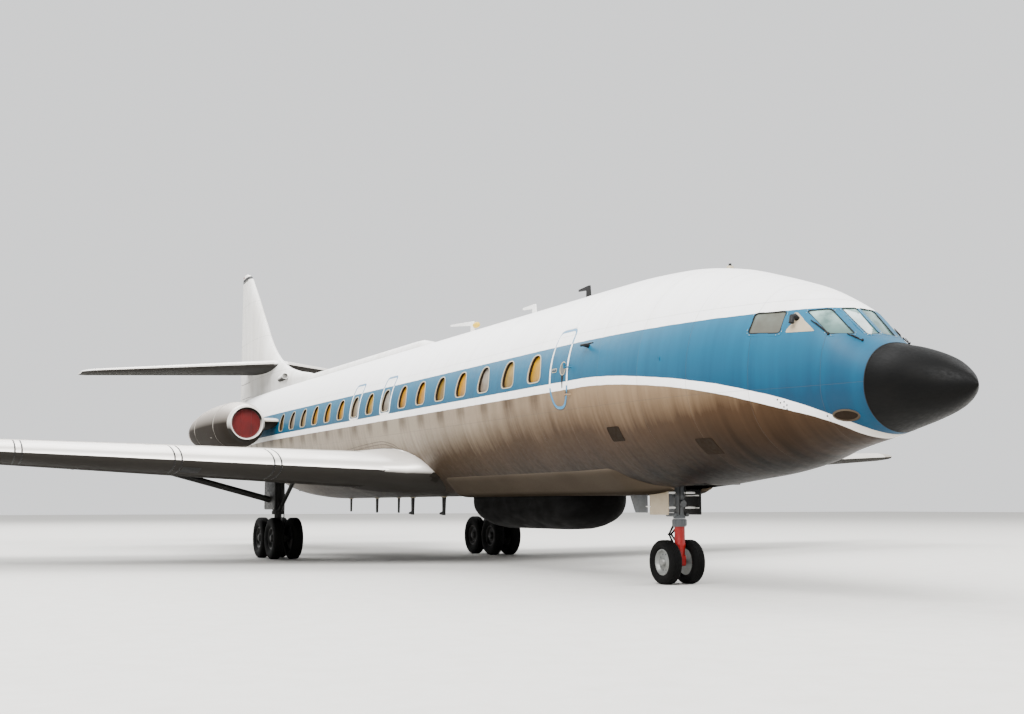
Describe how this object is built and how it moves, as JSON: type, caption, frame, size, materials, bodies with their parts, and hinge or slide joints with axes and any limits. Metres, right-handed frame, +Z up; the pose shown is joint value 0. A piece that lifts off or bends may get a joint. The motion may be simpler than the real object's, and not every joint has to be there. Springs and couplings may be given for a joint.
{
  "type": "narrow body airliner",
  "caption": "Twin-jet airliner with rear engines, cross-shaped tail, belly canoe radome and bogie gear; doors, airstair, controls, steering and wheels move.",
  "frame": {"origin": "on the ground, under the middle of the aircraft's length and span", "axes": "+X to port, along the span; +Y towards the tail; +Z up"},
  "size_m": [34.3, 32.01, 8.72],
  "materials": {
    "painted_skin": "weathered semi-gloss paint on aluminium sheet",
    "bare_alloy": "bare stained aluminium sheet",
    "radome": "black rain-erosion coating, satin",
    "gear_steel": "grey painted and oily steel",
    "wheel_alloy": "cast alloy, dusty",
    "red_paint": "red paint on steel",
    "glass": "laminated cockpit glass, clean",
    "cover": "dark red coated canvas",
    "tyre": "weathered rubber"
  },
  "bodies": {
    "airframe": {"nose_radome": "radome", "nose_section": "painted_skin", "cockpit_glazing": "glass", "forward_cabin": "painted_skin", "centre_fuselage": "painted_skin", "rear_fuselage": "painted_skin", "tail_cone": "painted_skin", "wing_port": "bare_alloy", "wing_starboard": "bare_alloy", "flap_port": "bare_alloy", "flap_starboard": "bare_alloy", "fin": "painted_skin", "tailplane": "painted_skin", "nacelle_port": "bare_alloy", "nacelle_starboard": "bare_alloy", "engine_port": "gear_steel", "engine_starboard": "gear_steel", "intake_cover_port": "cover", "intake_cover_starboard": "cover", "exhaust_nozzle_port": "gear_steel", "exhaust_nozzle_starboard": "gear_steel", "pylon_port": "bare_alloy", "pylon_starboard": "bare_alloy", "belly_fairing": "bare_alloy", "belly_radome": "radome", "main_gear_leg_port": "gear_steel", "main_gear_leg_starboard": "gear_steel", "bogie_beam_port": "gear_steel", "bogie_beam_starboard": "gear_steel", "main_gear_door_port": "bare_alloy", "main_gear_door_starboard": "bare_alloy", "nose_gear_leg": "gear_steel", "nose_gear_door_starboard": "bare_alloy", "nose_gear_door_port": "bare_alloy"},
    "service_door": {"service_door": "painted_skin"},
    "passenger_door": {"passenger_door": "painted_skin"},
    "rear_airstair": {"rear_airstair": "bare_alloy"},
    "aileron_port": {"aileron_port": "bare_alloy"},
    "aileron_starboard": {"aileron_starboard": "bare_alloy"},
    "elevator_port": {"elevator_port": "painted_skin"},
    "elevator_starboard": {"elevator_starboard": "painted_skin"},
    "rudder": {"rudder_upper": "painted_skin", "rudder_lower": "painted_skin"},
    "nose_steering": {"nose_gear_fork": "red_paint"},
    "nose_wheels": {"nose_axle": "wheel_alloy", "nose_axle_tyre_starboard": "tyre", "nose_axle_tyre_port": "tyre"},
    "main_wheels_starboard_front": {"main_axle_starboard_front": "wheel_alloy", "main_axle_starboard_front_tyre_starboard": "tyre", "main_axle_starboard_front_tyre_port": "tyre"},
    "main_wheels_starboard_rear": {"main_axle_starboard_rear": "wheel_alloy", "main_axle_starboard_rear_tyre_starboard": "tyre", "main_axle_starboard_rear_tyre_port": "tyre"},
    "main_wheels_port_front": {"main_axle_port_front": "wheel_alloy", "main_axle_port_front_tyre_starboard": "tyre", "main_axle_port_front_tyre_port": "tyre"},
    "main_wheels_port_rear": {"main_axle_port_rear": "wheel_alloy", "main_axle_port_rear_tyre_starboard": "tyre", "main_axle_port_rear_tyre_port": "tyre"}
  },
  "joints": [
    {"name": "service_door_hinge", "type": "hinge", "parent": "airframe", "child": "service_door", "pos_m": [-1.645, -9.815, 3.135], "axis": [0, 0, 1], "range_deg": [0, 90]},
    {"name": "passenger_door_hinge", "type": "hinge", "parent": "airframe", "child": "passenger_door", "pos_m": [1.645, -9.905, 3.17], "axis": [0, 0, -1], "range_deg": [0, 90]},
    {"name": "rear_airstair_hinge", "type": "hinge", "parent": "airframe", "child": "rear_airstair", "pos_m": [0, 7.495, 1.555], "axis": [-1, 0, 0], "range_deg": [0, 36]},
    {"name": "aileron_port_hinge", "type": "hinge", "parent": "airframe", "child": "aileron_port", "pos_m": [10.9, 3.18308, 2.3107], "axis": [0.9694, 0.2407, 0.0485], "range_deg": [-20, 20]},
    {"name": "aileron_starboard_hinge", "type": "hinge", "parent": "airframe", "child": "aileron_starboard", "pos_m": [-10.9, 3.18308, 2.3107], "axis": [0.9694, -0.2407, -0.0485], "range_deg": [-20, 20]},
    {"name": "elevator_port_hinge", "type": "hinge", "parent": "airframe", "child": "elevator_port", "pos_m": [0.62, 13.28945, 5.31102], "axis": [0.9799, 0.1961, -0.0379], "range_deg": [-25, 20]},
    {"name": "elevator_starboard_hinge", "type": "hinge", "parent": "airframe", "child": "elevator_starboard", "pos_m": [-0.62, 13.28945, 5.31102], "axis": [0.9799, -0.1961, 0.0379], "range_deg": [-25, 20]},
    {"name": "rudder_hinge", "type": "hinge", "parent": "airframe", "child": "rudder", "pos_m": [0, 13.945, 4.56], "axis": [0, 0.1652, 0.9863], "range_deg": [-25, 25]},
    {"name": "nose_steering_hinge", "type": "hinge", "parent": "airframe", "child": "nose_steering", "pos_m": [0, -10.27, 0.94], "axis": [0, 0, 1], "range_deg": [-45, 45]},
    {"name": "nose_wheels_spin", "type": "hinge", "parent": "nose_steering", "child": "nose_wheels", "pos_m": [0, -10.19, 0.32], "axis": [1, 0, 0], "continuous": true},
    {"name": "main_wheels_starboard_front_spin", "type": "hinge", "parent": "airframe", "child": "main_wheels_starboard_front", "pos_m": [-2.605, 1.11, 0.4445], "axis": [1, 0, 0], "continuous": true},
    {"name": "main_wheels_starboard_rear_spin", "type": "hinge", "parent": "airframe", "child": "main_wheels_starboard_rear", "pos_m": [-2.605, 2.09, 0.4445], "axis": [1, 0, 0], "continuous": true},
    {"name": "main_wheels_port_front_spin", "type": "hinge", "parent": "airframe", "child": "main_wheels_port_front", "pos_m": [2.605, 1.11, 0.4445], "axis": [1, 0, 0], "continuous": true},
    {"name": "main_wheels_port_rear_spin", "type": "hinge", "parent": "airframe", "child": "main_wheels_port_rear", "pos_m": [2.605, 2.09, 0.4445], "axis": [1, 0, 0], "continuous": true}
  ]
}
